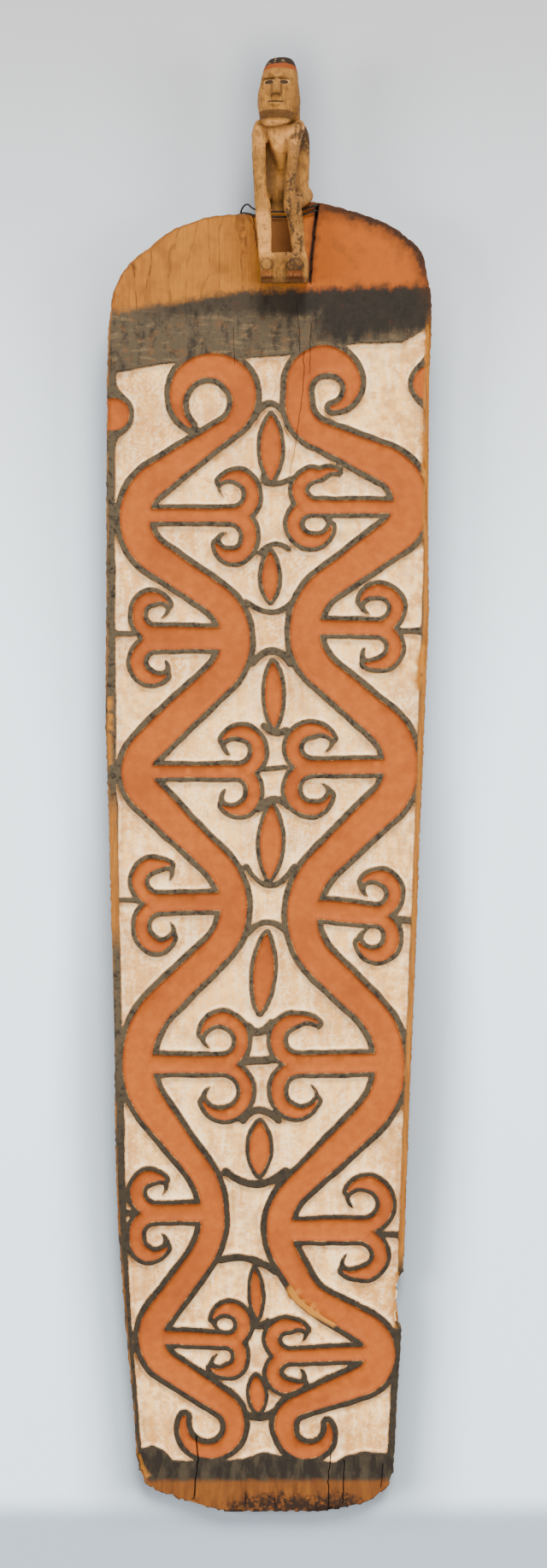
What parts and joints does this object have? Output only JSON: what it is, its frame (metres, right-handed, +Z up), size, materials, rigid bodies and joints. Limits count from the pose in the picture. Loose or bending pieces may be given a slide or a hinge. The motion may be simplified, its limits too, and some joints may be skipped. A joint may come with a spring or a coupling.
{
  "type": "carved wooden war shield",
  "caption": "Tall tapering war shield carved from one plank, with red, black and white scrollwork, a squatting figure on its top edge and a carved grip behind.",
  "frame": {"origin": "centre of the shield's box, on the floor it lies on", "axes": "+X across the shield, to the viewer's right; +Y up the shield towards the figure; +Z up, out of the painted face as it lies on its back"},
  "size_m": [0.405, 1.7996, 0.1337],
  "materials": {
    "painted_wood": "carved wood with worn matt ochre, lime and charcoal paint",
    "dark_wire": "dark iron wire with a dull sheen"
  },
  "bodies": {
    "root": {"shield": "painted_wood", "tie_wire": "dark_wire"}
  },
  "joints": []
}
